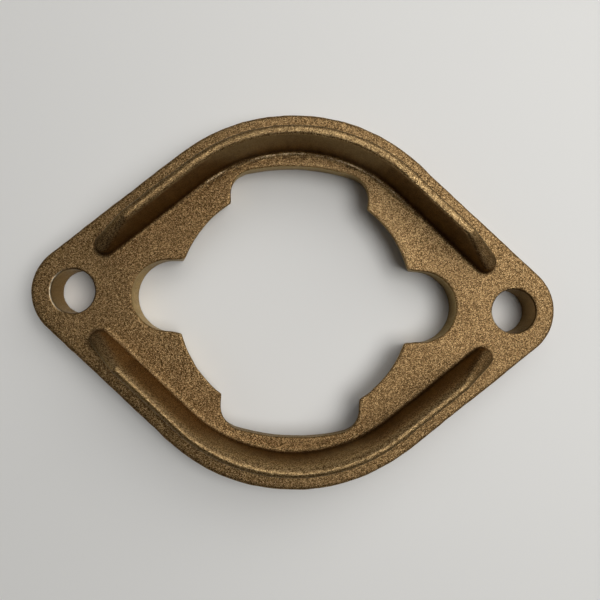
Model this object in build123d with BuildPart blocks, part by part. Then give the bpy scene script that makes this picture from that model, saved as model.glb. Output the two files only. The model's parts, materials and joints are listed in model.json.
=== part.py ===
from build123d import *
from math import acos, cos, degrees, radians, sin
import os

os.makedirs("parts", exist_ok=True)

# Two-bolt clamping flange, one bronze sand casting.
# Origin: middle of the flat underside. +X runs from lug to lug, +Z points up to the rib side.

# Plate
plate_thickness = 10.0
body_radius = 51.0  # arc of the two long edges, at the top face
lug_radius = 13.2  # rounded end around each lug hole, at the top face
lug_centre = 58.0  # distance of that rounding's centre from the middle
edge_draft = 1.0  # degrees, the outer wall is wider at the underside
edge_round = 0.9  # rounding of the upper outer edge
underside_round = 0.4  # rounding of the lower outer edge

# Lug holes
hole_pitch = 120.0
hole_dia = 12.0
hole_chamfer = 0.3

# Central opening, at the top face; each spread is how much it has grown at the underside
throat_radius = 31.8  # the four short diagonal arcs
throat_spread = 2.2
side_lobe_tip = 44.1  # reach of the two small lobes along X
side_lobe_radius = 9.6  # half round end of a small lobe
side_lobe_flare_radius = 16.0  # its flanks curve apart towards the throat
side_lobe_flare_angle = 32.0  # degrees
side_lobe_spread = 0.6
long_lobe_tip = 36.8  # reach of the two wide lobes along Y
long_lobe_half_width = 18.6
long_lobe_end_radius = 60.0  # shallow arc closing a wide lobe
long_lobe_corner = 6.5  # corner rounding of a wide lobe
long_lobe_spread = 1.5
opening_round = 0.4  # rounding of the opening's upper rim

# Ribs
rib_height = 12.5  # above the plate
rib_foot_inset = 5.2  # from the plate's edge to the rib's outer foot
rib_foot_width = 5.2
rib_draft = 6.4  # degrees, on both sides
rib_flank = 33.2  # straight run of a rib past the arc, down to its toe
rib_crest_flank = 20.8  # straight run of the crest, up to the sloping end
rib_toe_height = 2.6  # height left where the sloping end meets the toe
rib_crest_round = 1.1
rib_shoulder_round = 2.0  # where the crest turns down into the sloping end
rib_foot_round = 1.2

# Derived values
top = plate_thickness
normal_angle = degrees(acos((body_radius - lug_radius) / lug_centre))
rib_mid_radius = body_radius - rib_foot_inset - rib_foot_width / 2
flank_length = rib_flank - rib_foot_width / 2
slope_run = rib_flank - rib_crest_flank
slope_drop = rib_height - rib_toe_height


def flank_plane(side, end):
    """Upright plane through a rib's straight flank: local x runs to the lug, local y is up."""
    angle = radians(normal_angle)
    outward = Vector(end * cos(angle), side * sin(angle), 0)
    along = Vector(end * sin(angle), -side * cos(angle), 0)
    start = outward * rib_mid_radius + Vector(0, 0, top)
    return Plane(origin=start, x_dir=along, z_dir=along.cross(Vector(0, 0, 1)))


def flat_face(solid, height):
    """The plate's flat face at the given height."""
    return solid.faces().filter_by_position(Axis.Z, height, height).sort_by(SortBy.AREA)[-1]


# Flange casting: plate, lugs, opening and both ribs are poured as one piece.
with BuildPart() as flange_casting:
    # Plate: the long arcs and the lug roundings joined by tangent flanks
    with BuildSketch(Plane.XY.offset(top)):
        Circle(body_radius)
        with Locations((-lug_centre, 0), (lug_centre, 0)):
            Circle(lug_radius)
        make_hull()
    extrude(amount=-plate_thickness, taper=-edge_draft)

    # Central opening: round throat
    for height, spread in ((top, 0), (0, throat_spread)):
        with BuildSketch(Plane.XY.offset(height)):
            Circle(throat_radius + spread)
    loft(mode=Mode.SUBTRACT)

    # Central opening: two small lobes towards the lugs
    for end in (-1, 1):
        cap_x = end * (side_lobe_tip - side_lobe_radius)
        for height, spread in ((top, 0), (0, side_lobe_spread)):
            with BuildSketch(Plane.XY.offset(height)):
                with BuildLine():
                    cap = ThreePointArc(
                        (cap_x, side_lobe_radius + spread),
                        (end * (side_lobe_tip + spread), 0),
                        (cap_x, -side_lobe_radius - spread),
                    )
                    flares = [
                        JernArc(
                            start=start,
                            tangent=(-end, 0),
                            radius=side_lobe_flare_radius - spread,
                            arc_size=turn * end * side_lobe_flare_angle,
                        )
                        for start, turn in ((cap @ 0, -1), (cap @ 1, 1))
                    ]
                    Line(flares[0] @ 1, flares[1] @ 1)
                make_face()
        loft(mode=Mode.SUBTRACT)

    # Central opening: two wide lobes towards the ribs
    for height, spread in ((top, 0), (0, long_lobe_spread)):
        tip = long_lobe_tip + spread
        with BuildSketch(Plane.XY.offset(height)):
            Rectangle(2 * (long_lobe_half_width + spread), 2 * tip)
            for side in (-1, 1):
                with Locations((0, side * (tip - long_lobe_end_radius))):
                    Circle(long_lobe_end_radius, mode=Mode.INTERSECT)
            fillet(vertices(), radius=long_lobe_corner)
    loft(mode=Mode.SUBTRACT)

    # Ribs: drafted walls that follow the long arcs and run out along the flanks
    for side in (-1, 1):
        with BuildSketch(Plane.XY.offset(top)):
            with BuildLine():
                bend = CenterArc(
                    (0, 0), rib_mid_radius, side * normal_angle, side * (180 - 2 * normal_angle)
                )
                Line(bend @ 0, bend @ 0 - (bend % 0) * flank_length)
                Line(bend @ 1, bend @ 1 + (bend % 1) * flank_length)
                offset(amount=rib_foot_width / 2)
            make_face()
        extrude(amount=rib_height, taper=rib_draft)

    # Sloping rib ends, falling from the crest to the toe
    for side in (-1, 1):
        for end in (-1, 1):
            with BuildSketch(flank_plane(side, end)):
                with BuildLine():
                    Polyline(
                        (rib_crest_flank - slope_run, rib_height + slope_drop),
                        (rib_flank, rib_toe_height),
                        (rib_flank + slope_run, rib_toe_height),
                        (rib_flank + slope_run, rib_height + slope_drop),
                        close=True,
                    )
                make_face()
            extrude(amount=rib_foot_width, both=True, mode=Mode.SUBTRACT)

    # Lug holes
    with Locations((-hole_pitch / 2, 0), (hole_pitch / 2, 0)):
        Cylinder(
            hole_dia / 2,
            plate_thickness,
            align=(Align.CENTER, Align.CENTER, Align.MIN),
            mode=Mode.SUBTRACT,
        )

    # Rib roundings: the four shoulders first, then the outline of each crest and its slopes
    crest_edges = edges().filter_by_position(Axis.Z, top + rib_height, top + rib_height)
    fillet(crest_edges.sort_by(SortBy.LENGTH)[:4], radius=rib_shoulder_round)
    rib_faces = faces().filter_by(lambda face: face.center().Z > top + rib_height / 3)
    crest_faces = rib_faces.filter_by(lambda face: face.normal_at().Z > 0.5)
    crest_outline = [
        edge
        for edge in crest_faces.edges()
        if sum(any(edge.is_same(other) for other in face.edges()) for face in crest_faces) == 1
    ]
    fillet(crest_outline, radius=rib_crest_round)

    # Rounding at the foot of each rib
    rib_feet = [
        wire
        for wire in flat_face(flange_casting.part, top).inner_wires()
        if abs(wire.bounding_box().center().Y) > throat_radius / 2
    ]
    fillet([edge for wire in rib_feet for edge in wire.edges()], radius=rib_foot_round)

    # Outer edges of the plate
    fillet(flat_face(flange_casting.part, top).outer_wire().edges(), radius=edge_round)
    fillet(flat_face(flange_casting.part, 0).outer_wire().edges(), radius=underside_round)

    # Upper rim of the opening, the only inner outline centred on the origin
    upper_rims = flat_face(flange_casting.part, top).inner_wires()
    middle_rims = [wire for wire in upper_rims if wire.bounding_box().center().length < 2 * top]
    fillet(middle_rims[0].edges(), radius=opening_round)

    # Upper and lower rims of the lug holes
    hole_rims = edges().filter_by(
        lambda edge: edge.geom_type == GeomType.CIRCLE and abs(edge.radius - hole_dia / 2) < 0.01
    )
    chamfer(hole_rims, length=hole_chamfer)

flange_casting.part.label = "flange_casting"
export_step(flange_casting.part, "parts/flange_casting.step")
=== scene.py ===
import functools
import json
import math

import bpy
import numpy as np
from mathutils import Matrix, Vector


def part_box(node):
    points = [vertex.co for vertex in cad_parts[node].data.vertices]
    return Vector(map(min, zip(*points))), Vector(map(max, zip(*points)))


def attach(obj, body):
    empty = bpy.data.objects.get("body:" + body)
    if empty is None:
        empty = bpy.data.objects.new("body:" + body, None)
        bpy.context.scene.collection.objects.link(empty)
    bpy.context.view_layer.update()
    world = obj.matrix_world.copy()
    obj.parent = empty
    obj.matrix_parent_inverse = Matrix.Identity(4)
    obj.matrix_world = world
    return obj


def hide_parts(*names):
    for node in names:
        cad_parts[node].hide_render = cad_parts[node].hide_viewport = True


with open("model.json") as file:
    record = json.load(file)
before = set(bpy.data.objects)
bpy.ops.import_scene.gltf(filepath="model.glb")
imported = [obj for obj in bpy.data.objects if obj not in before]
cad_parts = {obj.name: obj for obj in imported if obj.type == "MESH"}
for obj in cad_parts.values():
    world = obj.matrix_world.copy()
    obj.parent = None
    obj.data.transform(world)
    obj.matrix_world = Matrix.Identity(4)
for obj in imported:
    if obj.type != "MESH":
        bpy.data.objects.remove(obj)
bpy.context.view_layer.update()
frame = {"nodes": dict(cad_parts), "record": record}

# One sand-cast bronze flange on a pale board. A finely meshed copy of the CAD casting takes its place,
# with worn crests, a mould seam, uneven edges and sand grain. Lengths are in metres. Upper, lower, left
# and right are +Y, -Y, -X and +X, as the camera sees them.

MM = 0.001
NODE = "flange_casting"
MOUNTS = {mount["name"]: mount for mount in frame["record"]["mounts"]}
PLATE_TOP = MOUNTS["nut_seat"]["pos_m"][2]
HOLE_OFFSET = MOUNTS["lug_holes"]["dims"]["spacing_x_mm"] / 2 * MM
HOLE_R = MOUNTS["lug_holes"]["dims"]["hole_r_mm"] * MM
RIB_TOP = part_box(NODE)[1][2]

# Camera: a phone held level above the part, a little turned
CAMERA_PLACE = (-1.455 * MM, -3.384 * MM, 166.2 * MM)
CAMERA_TURN = (1.335, -1.103, 2.594)  # degrees about X, Y, Z
CAMERA_LENS = 34.56  # mm
CAMERA_SENSOR = 36  # mm
CAMERA_NEAR = 5 * MM

# Light: name, azimuth and tilt in degrees, diameter in metres, power in watts
LIGHT_DISTANCE = 0.65
LIGHTS = (
    ("key", -4, 23, 0.44, 2.40),
    ("right_fill", 42, 50, 0.62, 1.70),
    ("far_side_fill", 92, 34, 0.46, 0.66),
    ("left_fill", 175, 50, 0.36, 0.16),
)
ROOM_COLOUR = (0.97, 0.985, 1.0, 1)
ROOM_STRENGTH = 0.02

# Floor
FLOOR_HALF = 1.5
FLOOR_HEIGHT = -0.15 * MM  # just under the casting's uneven underside
FLOOR_COLOUR = (0.745, 0.735, 0.708, 1)
FLOOR_ROUGHNESS = 0.9

# Casting mesh
VOXEL = 0.45 * MM

# Noise
SEED = 7
AXIS_KEYS = (73856093, 19349663, 83492791)  # these and the next two are large odd numbers that scatter
SEED_KEY = 2654435761  # neighbouring lattice points
MIX_KEY = 1274126177
MIX_MASK = 0xFFFFFFFF  # the 32 bits that are kept

# Ribs: the ridge line follows the plate's long arc, then runs straight towards the lug
RIDGE_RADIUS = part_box(NODE)[1][1] - 7.97 * MM
RIDGE_BEND = math.radians(49.33)  # from +X, where the arc meets the straight
WALL_SLOPE = math.tan(math.radians(6.4))
CREST_HALF_WIDTH = 1.2 * MM
CREST_REACH = 2.5 * CREST_HALF_WIDTH  # how far from the ridge line an edge is reshaped
CREST_RUN = 20.8 * MM  # straight run of a crest, up to its sloping end
LEVEL_RUN = CREST_RUN - 1.5 * MM  # the part of it that is set exactly, not only worn down,
LEVEL_DEPTH = 1 * MM  # down to this far below the top
WORN_ABOVE = PLATE_TOP + 2 * MM
END_SLOPE = 0.8
CREST_SPAN = 32 * MM  # from the middle of a rib to where its crest ends, along X
CREST_EDGES = (  # rib, side, width and height of the rounding in mm: left end, middle, right end
    (1, -1, (1.4, 1.0, 0.45), (1.4, 1.1, 0.45)),
    (1, 1, (1.5, 1.1, 1.2), (1.6, 1.2, 1.3)),
    (-1, -1, (1.8, 1.6, 1.7), (4.8, 3.6, 4.8)),
    (-1, 1, (1.6, 1.3, 1.2), (2.4, 1.6, 1.3)),
)

# Seam at the inner foot of the upper rib, placed outwards from the ridge line
SEAM_RIDGE_AT = -3.05 * MM
SEAM_GROOVE_AT = -3.75 * MM
SEAM_WIDTH = 0.32 * MM
SEAM_RAG_WAVE = 2.2 * MM
SEAM_STRENGTH = 0.7
SEAM_RAGGEDNESS = 0.6
SEAM_RIDGE_LIFT = 0.34 * MM
SEAM_GROOVE_DEPTH = 0.24 * MM

# Relief: height, wavelength and seed step of each noise
WAVES = ((0.14 * MM, 14 * MM, 0), (0.08 * MM, 6 * MM, 1))
LUMPS = (0.035 * MM, 2.6 * MM, 2)
SAND = ((0.5, 1.15 * MM, 3), (0.5, 0.7 * MM, 4))  # its heights are shares of the sand's lift
ROUGH_EDGE = (0.10 * MM, 2.4 * MM, 5)
SEAM_SEED_STEP = 6
SAND_LIFT = 0.028 * MM
STEEP_SAND_LOSS = 0.013 * MM
ROUGH_EDGE_STRETCH = (1, 1, 0.2)  # drawn out along Z
UNDERSIDE_FLATNESS = 0.5

# Where each mask fades in: nothing at the first value, all at the second. Heights, unless a comment differs
STEEP = (0.6, 0.15)  # size of the surface normal's Z
NEAR_HOLE = (HOLE_R + 0.6 * MM, HOLE_R + 0.25 * MM)  # from a hole's axis
ON_RIB = (PLATE_TOP + 0.2 * MM, PLATE_TOP + 0.8 * MM)
UNDERSIDE = (0.6 * MM, 0.1 * MM)
INNER_HALF = (1.1 * MM, 0.2 * MM)  # outwards from the ridge line, as are the next two
OUTER_HALF = (0.3 * MM, 1.1 * MM)
BETWEEN_RIBS = (-2.2 * MM, -3.4 * MM)
LOWER_WALL_TOP = (14.5 * MM, 19.5 * MM)
LOWER_WALL_LEFT = (-8 * MM, -30 * MM)  # along X
UPPER_WALL_TOP = (13 * MM, 19 * MM)
UPPER_WALL_SPAN = (27 * MM, 16 * MM)  # from the middle, along X
SHARP_CREST = (20.4 * MM, 21.8 * MM)
ROUND_CREST = (18.6 * MM, 21.4 * MM)
# Where the plate walls' painted reflection fades out, low in the opening
PALE_EDGE = (-28 * MM, -16 * MM)  # along Y
DARK_EDGE = (-24 * MM, -32 * MM)  # along Y
DARK_FLANK_X = (-26 * MM, -29 * MM)  # along X
DARK_FLANK_Y = (5 * MM, 8.5 * MM)  # along Y
SEAM_ABOVE = (PLATE_TOP - 1 * MM, PLATE_TOP - 0.4 * MM)
SEAM_BELOW = (PLATE_TOP + 2.5 * MM, PLATE_TOP + 1.5 * MM)
SEAM_SPAN = (40 * MM, 22 * MM)  # from the middle, along X
SLOPING_END = (CREST_RUN - 0.5 * MM, CREST_RUN + 1 * MM)  # along a rib, past its bend
SLOPING_END_ABOVE = PLATE_TOP + 0.5 * MM  # a plain limit, not a fade

# How strong each mask is
# Painted light on the lower rib's walls, near its crest and towards its left end
LOWER_WALL_TOP_LIT = 0.85
LOWER_WALL_LEFT_LIT = 0.8
OUTER_EDGE_PALE = 0.3
LEFT_CREST = (-CREST_SPAN, -0.4 * CREST_SPAN)  # along X
LEFT_CREST_WORN_HIGHLIGHT = (0.45, 1.0)  # at those two places
# Strength of the painted shade
UPPER_WALL_SHADE = 0.75
EDGE_SHADE = 0.8

# Painted light and shade: how much lighter (+) or darker (-) the sandy skin is painted, where it lies more
# in the light or more in shade
PAINTED_LIGHT_TONE = (  # between the ribs, by direction in degrees from +X
    (0, 0.01),
    (38, 0.10),
    (90, 0.09),
    (118, 0.0),
    (140, -0.03),
    (180, 0.0),
    (225, 0.0),
    (270, -0.06),
    (315, 0.01),
)
PAINTED_LIGHT_ENDS = {(1, 1): 0.05, (-1, 1): 0.04, (-1, -1): 0.10, (1, -1): -0.09}  # sloping rib ends, by quadrant

# Colours: one colour, or the positions and colours of a ramp
SANDY_RAMP = (
    (0.20, (0.024, 0.013, 0.004)),
    (0.40, (0.115, 0.065, 0.024)),
    (0.60, (0.26, 0.154, 0.064)),
    (0.84, (0.62, 0.42, 0.20)),
)
# Rib walls: partly their own smooth brown skin, partly painted shade
RIB_WALL_RAMP = ((0.30, (0.070, 0.040, 0.017)), (0.70, (0.150, 0.095, 0.043)))
# Plate walls: partly their smooth skin, partly a painted reflection of the lit board
PLATE_WALL_RAMP = ((0.30, (0.28, 0.20, 0.085)), (0.70, (0.46, 0.34, 0.155)))
# Rubbed crests: partly real wear, partly a painted highlight
WORN_HIGHLIGHT_RAMP = ((0.28, (0.16, 0.095, 0.036)), (0.74, (0.74, 0.52, 0.25)))
DRILLED_COLOUR = (0.17, 0.092, 0.038)
# Painted shade
PAINTED_SHADE_COLOUR = (0.050, 0.030, 0.013)
# Lug hole rims: painted highlight on the left half, painted shade on the right
RIM_HIGHLIGHT_COLOUR = (0.92, 0.80, 0.58)
RIM_SHADE_COLOUR = (0.05, 0.030, 0.012)
# Seam: painted highlight on its ridge, painted shadow in its groove
SEAM_HIGHLIGHT_COLOUR = (0.90, 0.70, 0.42)
SEAM_SHADOW_COLOUR = (0.02, 0.012, 0.005)
BLOTCH_COLOUR = (0.20, 0.125, 0.055)
EDGE_TINT = (0.95, 0.83, 0.63, 1)

# Patterns in the bronze: wavelength, and detail and roughness where they aren't the usual ones
GRAIN_SIZE = 0.19 * MM
FINE_GRAIN = (0.15 * MM, 1.0, 0.6)
COARSE_GRAIN = (1.1 * MM,)
BLOTCH_NOISE = (22 * MM, 3.0, 0.55)
STREAK_NOISE = (1.4 * MM, 3.0, 0.6)
STREAK_STRETCH = (1, 1, 0.3)  # drawn out along Z
SPECK_NOISE = (0.6 * MM, 2.0, 0.6)
SEAM_NOISE = (0.45 * MM, 1.0)
RIM_NOISE = (2.5 * MM,)

# How much of each pattern and colour shows
GRAIN_SHARE, FINE_SHARE, COARSE_SHARE = 0.60, 0.34, 0.06
WALL_SHARE = 0.85
DRILLED_SHARE = 0.75
PAINTED_SHADE_SHARE = 0.6
RIM_SHADE_SHARE = 0.7
WALL_SMOOTHNESS = 0.85
SMOOTH_SKIN = 0.10  # how much less rough walls and rubbed crests are
BUMP_SHARE = 0.9
BUMP_DEPTH = 0.10 * MM
BUMP_STRENGTH = 0.7

# Spreads: a value from and to, and then what those two become, if not 0 and 1
SPECK_SPREAD = (0.38, 0.62, 0.12, 0.80)
BLOTCH_SPREAD = (0.35, 0.7, 0.0, 0.30)
SEAM_RAG_SPREAD = (0.35, 0.65, 0.35, 1.25)
SEAM_HIGHLIGHT_SPREAD = (0.35, 0.75, 0.0, 0.95)
SEAM_SHADOW_SPREAD = (-0.25, -0.6, 0.0, 0.9)
ROUGHNESS_SPREAD = (0.3, 0.7, 0.56, 0.38)
RIM_PATCH_SPREAD = (0.40, 0.60, 0.25, 1.0)
RIM_SPREAD = (0.22 * MM, 0.08 * MM)  # distance from the middle of a hole's worn rim
RIM_HEIGHT_SPREAD = (PLATE_TOP - 0.7 * MM, PLATE_TOP - 0.4 * MM)
RIM_HIGHLIGHT_SPREAD = (-1 * MM, -5 * MM)  # along X from a hole's axis, as is the next
RIM_SHADE_SPREAD = (0.0, 4 * MM)
RIM_MIDDLE = HOLE_R + 0.12 * MM


# ---------------------------------------------------------------- mesh helpers


def lattice_noise(points, wavelength, seed):
    """Smooth value noise from -1 to 1 at each point, one value per wavelength."""
    cell = points / wavelength
    low = np.floor(cell).astype(np.int64)
    part = cell - low
    part = part * part * (3 - 2 * part)
    total = np.zeros(len(points))
    for corner in range(8):
        step = np.array([corner & 1, corner >> 1 & 1, corner >> 2 & 1])
        mixed = np.bitwise_xor.reduce((low + step) * AXIS_KEYS, axis=1) ^ seed * SEED_KEY
        mixed = (mixed ^ mixed >> 13) * MIX_KEY & MIX_MASK
        value = (mixed ^ mixed >> 16 & 0xFFFF) % 65536 / 32767.5 - 1  # the low 16 bits, as -1 to 1
        weight = np.prod(np.where(step, part, 1 - part), axis=1)
        total += weight * value
    return total


def layered_noise(points, *layers):
    """Sum of noises, each given by its height, wavelength and seed step."""
    total = np.zeros(len(points))
    for height, wavelength, step in layers:
        total += height * lattice_noise(points, wavelength, SEED + step)
    return total


def fade(value, ends):
    """0 at the first end, 1 at the second, smooth between."""
    share = np.clip((value - ends[0]) / (ends[1] - ends[0]), 0, 1)
    return share * share * (3 - 2 * share)


def fine_copy(node):
    """An evenly meshed copy of a CAD node, with its points back on the CAD surface."""
    piece = bpy.data.objects.new("cast_flange", node.data.copy())
    bpy.context.scene.collection.objects.link(piece)
    remesh = piece.modifiers.new("even", "REMESH")
    remesh.mode = "VOXEL"
    remesh.voxel_size = VOXEL
    wrap = piece.modifiers.new("wrap", "SHRINKWRAP")
    wrap.target = node
    wrap.wrap_method = "NEAREST_SURFACEPOINT"
    depsgraph = bpy.context.evaluated_depsgraph_get()
    mesh = bpy.data.meshes.new_from_object(piece.evaluated_get(depsgraph))
    piece.modifiers.clear()
    piece.data = mesh
    return piece


def mesh_arrays(mesh):
    """Point positions and normals as arrays."""
    count = len(mesh.vertices)
    places = np.empty(count * 3)
    normals = np.empty(count * 3)
    mesh.vertices.foreach_get("co", places)
    mesh.vertex_normals.foreach_get("vector", normals)
    return places.reshape(-1, 3), normals.reshape(-1, 3)


def store(mesh, name, values):
    """Keeps one number per point for the material."""
    layer = mesh.attributes.new(name, "FLOAT", "POINT")
    layer.data.foreach_set("value", values.astype(np.float32))


# ---------------------------------------------------------------- shape of the crests


def from_ridge(places):
    """Distance outwards from the nearest rib's ridge line, and along it past its bend."""
    x, y = np.abs(places[:, 0]), np.abs(places[:, 1])
    along = x * math.sin(RIDGE_BEND) - y * math.cos(RIDGE_BEND)
    reach = np.where(along < 0, np.hypot(x, y), x * math.cos(RIDGE_BEND) + y * math.sin(RIDGE_BEND))
    return reach - RIDGE_RADIUS, along


def crest_drop(across, width, height):
    """How far a crest's rounded edge lies below its top, at a distance from the ridge line."""
    foot = CREST_HALF_WIDTH + WALL_SLOPE * height
    past = np.clip((across - foot) / width + 1, 0, 1)
    return height * (1 - np.sqrt(1 - past**2)) + np.clip(across - foot, 0, None) / WALL_SLOPE


def shape_crests(places):
    """Gives each crest edge its own rounding, where the sand mould was more or less worn."""
    outwards, along = from_ridge(places)
    x, y, height = places.T
    fall = np.clip(along - CREST_RUN, 0, None) * END_SLOPE
    stations = (-CREST_SPAN, 0, CREST_SPAN)
    for rib, side, widths, heights in CREST_EDGES:
        width = np.interp(x, stations, widths) * MM
        tall = np.interp(x, stations, heights) * MM
        across = outwards * side - fall * WALL_SLOPE
        target = RIB_TOP - fall - crest_drop(across, width, tall)
        edge = (y * rib > 0) & (across > -CREST_HALF_WIDTH) & (across < CREST_REACH)
        level = edge & (across > 0) & (height > RIB_TOP - LEVEL_DEPTH) & (along < LEVEL_RUN)
        worn = edge & (height > WORN_ABOVE)
        lowered = np.where(worn, np.minimum(height, target), height)
        places[:, 2] = np.where(level, target, lowered)


# ---------------------------------------------------------------- masks for the skin and the relief


def foot_seam(places):
    """Ragged seam left by the mould along the inner foot of the upper rib: its ridge and its groove."""
    x, y, height = places.T
    outwards, _ = from_ridge(places)
    ragged = SEAM_RAGGEDNESS * lattice_noise(places, SEAM_RAG_WAVE, SEED + SEAM_SEED_STEP)
    share = SEAM_STRENGTH + ragged
    share *= fade(height, SEAM_BELOW) * fade(height, SEAM_ABOVE)
    share *= fade(np.abs(x), SEAM_SPAN) * (y > 0)
    ridge = np.exp(-(((outwards - SEAM_RIDGE_AT) / SEAM_WIDTH) ** 2))
    groove = np.exp(-(((outwards - SEAM_GROOVE_AT) / SEAM_WIDTH) ** 2))
    return ridge * share, groove * share


def painted_light_tone(places):
    """Painted light and shade on the casting's skin: lighter or darker between the ribs, by direction, and
    on their sloping ends.
    """
    x, y, height = places.T
    outwards, along = from_ridge(places)
    directions, shades = zip(*PAINTED_LIGHT_TONE)
    tone = np.interp(np.degrees(np.arctan2(y, x)), directions, shades, period=360)
    tone *= fade(outwards, BETWEEN_RIBS)
    end = fade(along, SLOPING_END) * (height > SLOPING_END_ABOVE)
    for (right, upper), shade in PAINTED_LIGHT_ENDS.items():
        quadrant = (x * right > 0) & (y * upper > 0)
        tone = np.where(quadrant, tone + (shade - tone) * end, tone)
    return tone


def rib_wall(places, steep, on_rib):
    """The ribs' walls, painted dark: partly their own smooth skin and partly painted shade; less on the
    lower rib near its crest and towards the left, where light is painted on it.
    """
    x, y, height = places.T
    lit_top = LOWER_WALL_TOP_LIT * fade(height, LOWER_WALL_TOP)
    lit_left = LOWER_WALL_LEFT_LIT * fade(x, LOWER_WALL_LEFT)
    return steep * on_rib * (1 - (y < 0) * np.maximum(lit_top, lit_left))


def plate_wall(places, edge, facing_in, drilled):
    """The plate's walls, painted pale: partly their smooth skin and partly a painted reflection of the lit
    board; most in the opening and the holes, less so outside and low in the opening, where they lie in
    shade.
    """
    pale = np.maximum(facing_in * fade(places[:, 1], PALE_EDGE), drilled)
    return edge * (OUTER_EDGE_PALE + (1 - OUTER_EDGE_PALE) * pale)


def worn_highlit_crest(places, steep):
    """Inner half of each crest, painted bright: partly real wear and partly a painted highlight; a sharp
    one on the upper rib, a round one on the lower.
    """
    x, y, height = places.T
    outwards, _ = from_ridge(places)
    left = np.interp(x, LEFT_CREST, LEFT_CREST_WORN_HIGHLIGHT)
    sharp = fade(height, SHARP_CREST) * (1 - steep) * left
    return np.where(y < 0, fade(height, ROUND_CREST), sharp) * fade(outwards, INNER_HALF)


def painted_shade(places, steep, on_rib, edge, facing_in):
    """Painted shade, the darkest skin: outside the ribs, high inside the upper one, and on two stretches of
    the opening.
    """
    x, y, height = places.T
    outwards, _ = from_ridge(places)
    outside = on_rib * fade(outwards, OUTER_HALF)
    inside = (y >= 0) * steep * fade(height, UPPER_WALL_TOP) * (outwards < 0)
    inside = inside * fade(np.abs(x), UPPER_WALL_SPAN)
    flank = fade(y, DARK_FLANK_Y) * fade(x, DARK_FLANK_X)
    opening = edge * facing_in * np.maximum(fade(y, DARK_EDGE), flank)
    return np.maximum(np.maximum(outside, UPPER_WALL_SHADE * inside), EDGE_SHADE * opening)


def relief(places, steep, edge, drilled, ridge, groove):
    """How far the skin stands out: slow waves, rough edges, lumps, sand grain and the seam."""
    sand = layered_noise(places, *SAND) * (SAND_LIFT - STEEP_SAND_LOSS * steep)
    rough_edge = edge * layered_noise(places * ROUGH_EDGE_STRETCH, ROUGH_EDGE)
    lift = layered_noise(places, *WAVES, LUMPS) + rough_edge + sand
    lift *= (1 - drilled) * (1 - UNDERSIDE_FLATNESS * fade(places[:, 2], UNDERSIDE))
    return lift + SEAM_RIDGE_LIFT * ridge - SEAM_GROOVE_DEPTH * groove


def cast_surface(piece):
    """Gives the casting its worn crests and uneven skin, and stores the masks for its material."""
    mesh = piece.data
    places, normals = mesh_arrays(mesh)
    x, y, height = places.T
    steep = fade(np.abs(normals[:, 2]), STEEP)
    on_rib = fade(height, ON_RIB)
    edge = steep * (1 - on_rib)
    drilled = fade(np.hypot(np.abs(x) - HOLE_OFFSET, y), NEAR_HOLE)
    facing_in = (normals[:, :2] * places[:, :2]).sum(axis=1) < 0
    ridge, groove = foot_seam(places)
    store(mesh, "rib_wall", rib_wall(places, steep, on_rib))
    store(mesh, "plate_wall", plate_wall(places, edge, facing_in, drilled))
    store(mesh, "drilled", drilled)
    store(mesh, "crest", worn_highlit_crest(places, steep))
    store(mesh, "seam", ridge - groove)
    store(mesh, "painted_light_tone", painted_light_tone(places))
    store(mesh, "painted_shade", painted_shade(places, steep, on_rib, edge, facing_in))
    lift = relief(places, steep, edge, drilled, ridge, groove)
    shape_crests(places)
    places += normals * lift[:, None]
    mesh.vertices.foreach_set("co", places.ravel())
    mesh.shade_smooth()
    mesh.update()


# ---------------------------------------------------------------- materials


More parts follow.
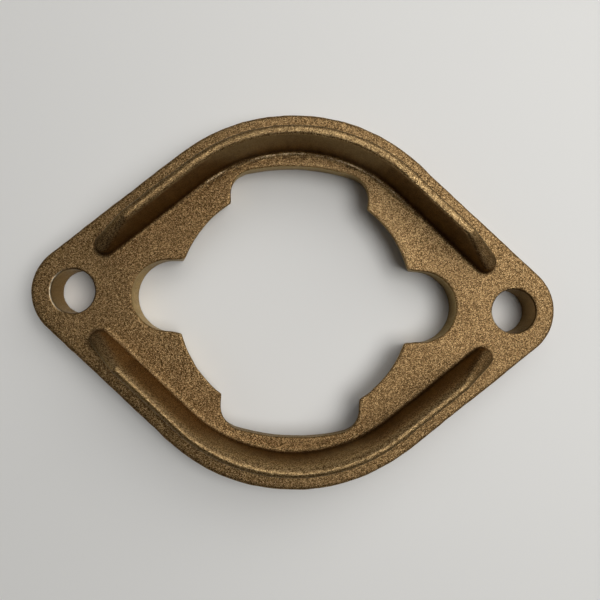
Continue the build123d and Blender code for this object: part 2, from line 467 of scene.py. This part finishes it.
class Nodes:
    """Short calls for building a material's node tree."""

    def __init__(self, name):
        self.material = bpy.data.materials.new(name)
        self.material.use_nodes = True
        self.tree = self.material.node_tree
        self.tree.nodes.clear()
        self.output = self.tree.nodes.new("ShaderNodeOutputMaterial")
        self.shader = self.tree.nodes.new("ShaderNodeBsdfPrincipled")
        self.link(self.shader.outputs["BSDF"], self.output.inputs["Surface"])

    def link(self, source, target):
        self.tree.links.new(source, target)

    def put(self, socket, value):
        """Links an output, or sets a plain value."""
        if isinstance(value, bpy.types.NodeSocket):
            self.link(value, socket)
        else:
            socket.default_value = value

    def place(self):
        return self.tree.nodes.new("ShaderNodeTexCoord").outputs["Object"]

    def attribute(self, name):
        node = self.tree.nodes.new("ShaderNodeAttribute")
        node.attribute_name = name
        return node.outputs["Fac"]

    def scaled(self, vector, scale):
        node = self.tree.nodes.new("ShaderNodeMapping")
        self.link(vector, node.inputs["Vector"])
        node.inputs["Scale"].default_value = scale
        return node.outputs["Vector"]

    def parts(self, vector):
        """The three parts of a vector."""
        node = self.tree.nodes.new("ShaderNodeSeparateXYZ")
        self.link(vector, node.inputs["Vector"])
        return node.outputs

    def noise(self, vector, wavelength, detail=2.0, roughness=0.5):
        node = self.tree.nodes.new("ShaderNodeTexNoise")
        self.link(vector, node.inputs["Vector"])
        node.inputs["Scale"].default_value = 1 / wavelength
        node.inputs["Detail"].default_value = detail
        node.inputs["Roughness"].default_value = roughness
        return node.outputs["Fac"]

    def grains(self, vector, size):
        """Round grains: a random number for each, and the distance from its middle."""
        node = self.tree.nodes.new("ShaderNodeTexVoronoi")
        self.link(vector, node.inputs["Vector"])
        node.inputs["Scale"].default_value = 1 / size
        split = self.tree.nodes.new("ShaderNodeSeparateColor")
        self.link(node.outputs["Color"], split.inputs["Color"])
        return split.outputs["Red"], node.outputs["Distance"]

    def math(self, operation, first, second=0.0):
        node = self.tree.nodes.new("ShaderNodeMath")
        node.operation = operation
        for socket, value in zip(node.inputs, (first, second)):
            self.put(socket, value)
        return node.outputs["Value"]

    def add(self, *values):
        return functools.reduce(functools.partial(self.math, "ADD"), values)

    def multiply(self, *values):
        return functools.reduce(functools.partial(self.math, "MULTIPLY"), values)

    def subtract(self, first, second):
        return self.math("SUBTRACT", first, second)

    def spread(self, value, low, high, to_low=0.0, to_high=1.0):
        """Turns low to high into to_low to to_high, and stays within those."""
        node = self.tree.nodes.new("ShaderNodeMapRange")
        for name, number in (
            ("Value", value),
            ("From Min", low),
            ("From Max", high),
            ("To Min", to_low),
            ("To Max", to_high),
        ):
            self.put(node.inputs[name], number)
        return node.outputs["Result"]

    def ramp(self, value, stops):
        node = self.tree.nodes.new("ShaderNodeValToRGB")
        self.link(value, node.inputs["Fac"])
        elements = node.color_ramp.elements
        while len(elements) < len(stops):
            elements.new(0.5)
        for element, (position, colour) in zip(elements, stops):
            element.position = position
            element.color = (*colour, 1)
        return node.outputs["Color"]

    def mix(self, share, first, second):
        """The first colour, with a share of the second over it."""
        node = self.tree.nodes.new("ShaderNodeMix")
        node.data_type = "RGBA"
        self.put(node.inputs["Factor"], share)
        colours = [socket for socket in node.inputs if socket.type == "RGBA"]
        for socket, colour in zip(colours, (first, second)):
            self.put(socket, (*colour, 1) if isinstance(colour, tuple) else colour)
        return next(socket for socket in node.outputs if socket.type == "RGBA")

    def bump(self, height, distance, strength):
        node = self.tree.nodes.new("ShaderNodeBump")
        self.link(height, node.inputs["Height"])
        node.inputs["Distance"].default_value = distance
        node.inputs["Strength"].default_value = strength
        return node.outputs["Normal"]


def wall_layers(nodes, place, rib_walls, plate_walls):
    """Streaked walls of the ribs, dark partly from painted shade, and of the plate, pale partly from a
    painted reflection; the drilled walls; and painted shade over them all.
    """
    streaks = nodes.noise(nodes.scaled(place, STREAK_STRETCH), *STREAK_NOISE)
    drilled = nodes.multiply(nodes.attribute("drilled"), plate_walls, DRILLED_SHARE)
    return (
        (nodes.multiply(rib_walls, WALL_SHARE), nodes.ramp(streaks, RIB_WALL_RAMP)),
        (nodes.multiply(plate_walls, WALL_SHARE), nodes.ramp(streaks, PLATE_WALL_RAMP)),
        (drilled, DRILLED_COLOUR),
        (nodes.multiply(nodes.attribute("painted_shade"), PAINTED_SHADE_SHARE), PAINTED_SHADE_COLOUR),
    )


def rim_layers(nodes, place):
    """The thin edge of each lug hole, in patches: a painted highlight on its left half and painted shade on
    its right half.
    """
    x, y, z = nodes.parts(place)
    aside = nodes.subtract(x, nodes.multiply(nodes.math("SIGN", x), HOLE_OFFSET))
    from_axis = nodes.math("SQRT", nodes.add(nodes.multiply(aside, aside), nodes.multiply(y, y)))
    off = nodes.math("ABSOLUTE", nodes.subtract(from_axis, RIM_MIDDLE))
    ring = nodes.multiply(nodes.spread(off, *RIM_SPREAD), nodes.spread(z, *RIM_HEIGHT_SPREAD))
    # Breaks the painted highlight into patches
    worn = nodes.spread(nodes.noise(place, *RIM_NOISE), *RIM_PATCH_SPREAD)
    return (
        (nodes.multiply(ring, worn, nodes.spread(aside, *RIM_HIGHLIGHT_SPREAD)), RIM_HIGHLIGHT_COLOUR),
        (nodes.multiply(ring, RIM_SHADE_SHARE, nodes.spread(aside, *RIM_SHADE_SPREAD)), RIM_SHADE_COLOUR),
    )


def seam_layers(nodes, place):
    """A painted highlight along the seam's ragged ridge and a painted shadow in its groove."""
    ragged = nodes.spread(nodes.noise(place, *SEAM_NOISE), *SEAM_RAG_SPREAD)
    seam = nodes.multiply(nodes.attribute("seam"), ragged)
    return (
        (nodes.spread(seam, *SEAM_HIGHLIGHT_SPREAD), SEAM_HIGHLIGHT_COLOUR),
        (nodes.spread(seam, *SEAM_SHADOW_SPREAD), SEAM_SHADOW_COLOUR),
    )


def bronze():
    """Sand-cast bronze: sandy faces, dark smooth rib walls partly from painted shade, brighter crests
    partly from a painted highlight, pale edge walls partly from a painted reflection, and painted light and
    shade in places.
    """
    nodes = Nodes("cast_bronze")
    place = nodes.place()
    rib_walls = nodes.attribute("rib_wall")
    plate_walls = nodes.attribute("plate_wall")
    steep = nodes.add(rib_walls, plate_walls)

    # The sand's speckle
    tone, dome = nodes.grains(place, GRAIN_SIZE)
    fine = nodes.noise(place, *FINE_GRAIN)
    coarse = nodes.noise(place, *COARSE_GRAIN)
    grain = nodes.add(
        nodes.multiply(tone, GRAIN_SHARE),
        nodes.multiply(fine, FINE_SHARE),
        nodes.multiply(coarse, COARSE_SHARE),
    )

    # Colour: the sandy skin, then each layer over it in turn
    specks = nodes.spread(nodes.noise(place, *SPECK_NOISE), *SPECK_SPREAD)
    # Crest colour: partly real wear, partly a painted highlight
    worn_highlight = nodes.multiply(nodes.attribute("crest"), specks)
    blotches = nodes.spread(nodes.noise(place, *BLOTCH_NOISE), *BLOTCH_SPREAD)
    # The sandy skin, made lighter or darker by the painted light and shade tone
    colour = nodes.ramp(nodes.add(grain, nodes.attribute("painted_light_tone")), SANDY_RAMP)
    for share, paint in (
        *wall_layers(nodes, place, rib_walls, plate_walls),
        (worn_highlight, nodes.ramp(grain, WORN_HIGHLIGHT_RAMP)),
        *rim_layers(nodes, place),
        *seam_layers(nodes, place),
        (blotches, BLOTCH_COLOUR),
    ):
        colour = nodes.mix(share, colour, paint)
    nodes.put(nodes.shader.inputs["Base Color"], colour)
    nodes.shader.inputs["Metallic"].default_value = 1.0
    nodes.shader.inputs["Specular Tint"].default_value = EDGE_TINT

    # Roughness, lower on bright grains, walls and rubbed crests
    sandy = nodes.spread(grain, *ROUGHNESS_SPREAD)
    smooth = nodes.multiply(nodes.math("MAXIMUM", steep, worn_highlight), SMOOTH_SKIN)
    nodes.put(nodes.shader.inputs["Roughness"], nodes.subtract(sandy, smooth))

    # Bumps, fainter on the walls
    bumps = nodes.subtract(nodes.multiply(fine, BUMP_SHARE), nodes.multiply(dome, BUMP_SHARE))
    fainter = nodes.subtract(1.0, nodes.multiply(steep, WALL_SMOOTHNESS))
    height = nodes.multiply(bumps, fainter)
    nodes.put(nodes.shader.inputs["Normal"], nodes.bump(height, BUMP_DEPTH, BUMP_STRENGTH))
    return nodes.material


def floor_paint():
    """Pale matt board."""
    nodes = Nodes("pale_board")
    nodes.shader.inputs["Base Color"].default_value = FLOOR_COLOUR
    nodes.shader.inputs["Roughness"].default_value = FLOOR_ROUGHNESS
    return nodes.material


# ---------------------------------------------------------------- the flange


def make_flange():
    """The bronze casting that stands for the CAD node."""
    piece = fine_copy(frame["nodes"][NODE])
    cast_surface(piece)
    piece.data.materials.clear()
    piece.data.materials.append(bronze())
    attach(piece, "root")
    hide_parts(NODE)


# ---------------------------------------------------------------- floor, light, camera


def make_floor():
    """A wide square board under the part."""
    corners = ((-1, -1), (1, -1), (1, 1), (-1, 1))
    mesh = bpy.data.meshes.new("floor")
    mesh.from_pydata([(x * FLOOR_HALF, y * FLOOR_HALF, 0) for x, y in corners], [], [(0, 1, 2, 3)])
    floor = bpy.data.objects.new("floor", mesh)
    bpy.context.scene.collection.objects.link(floor)
    mesh.materials.append(floor_paint())
    floor.location.z = FLOOR_HEIGHT


def area_light(name, azimuth, tilt, size, power):
    """A round soft light at LIGHT_DISTANCE, facing the part; tilt is its angle from straight above."""
    light = bpy.data.lights.new(name, "AREA")
    light.shape = "DISK"
    light.size = size
    light.energy = power
    lamp = bpy.data.objects.new(name, light)
    bpy.context.scene.collection.objects.link(lamp)
    lamp.rotation_euler = (0, math.radians(tilt), math.radians(azimuth))
    lamp.location = lamp.rotation_euler.to_matrix() @ Vector((0, 0, LIGHT_DISTANCE))


def make_light():
    """A high soft light on the right, fills on the upper right, upper side and left, and a dim room."""
    for light in LIGHTS:
        area_light(*light)
    world = bpy.data.worlds.new("studio")
    world.use_nodes = True
    background = world.node_tree.nodes["Background"]
    background.inputs["Color"].default_value = ROOM_COLOUR
    background.inputs["Strength"].default_value = ROOM_STRENGTH
    bpy.context.scene.world = world


def make_camera():
    """The photo's camera."""
    data = bpy.data.cameras.new("camera")
    data.sensor_width = CAMERA_SENSOR
    data.lens = CAMERA_LENS
    data.clip_start = CAMERA_NEAR
    camera = bpy.data.objects.new("camera", data)
    bpy.context.scene.collection.objects.link(camera)
    camera.location = CAMERA_PLACE
    camera.rotation_euler = [math.radians(angle) for angle in CAMERA_TURN]
    bpy.context.scene.camera = camera


bpy.context.scene.view_settings.view_transform = "Standard"
make_flange()
make_floor()
make_light()
make_camera()
